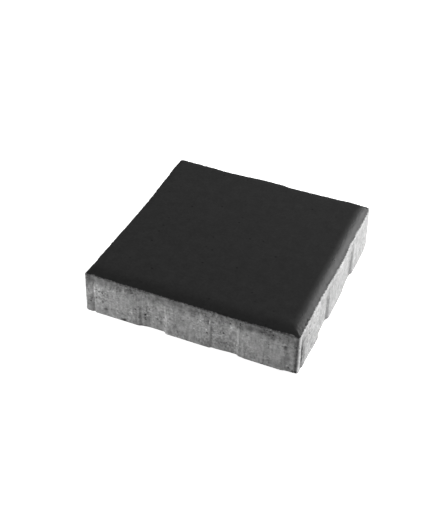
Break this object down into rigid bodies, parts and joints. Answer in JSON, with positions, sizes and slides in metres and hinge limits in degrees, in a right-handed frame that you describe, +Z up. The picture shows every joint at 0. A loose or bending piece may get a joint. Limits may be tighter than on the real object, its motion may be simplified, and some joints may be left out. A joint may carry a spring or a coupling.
{
  "type": "concrete paver",
  "caption": "Square pressed concrete paver with a smooth dark wearing face, a pale grey body and spacer pads moulded on its side walls.",
  "frame": {"origin": "centre of the bed face, the face that lies on the laying course", "axes": "+Z up through the wearing face, +X towards the right wall, -Y towards the front wall"},
  "size_m": [0.3, 0.3, 0.06],
  "materials": {
    "concrete": "matte"
  },
  "bodies": {
    "root": {"paver": "concrete"}
  },
  "joints": []
}
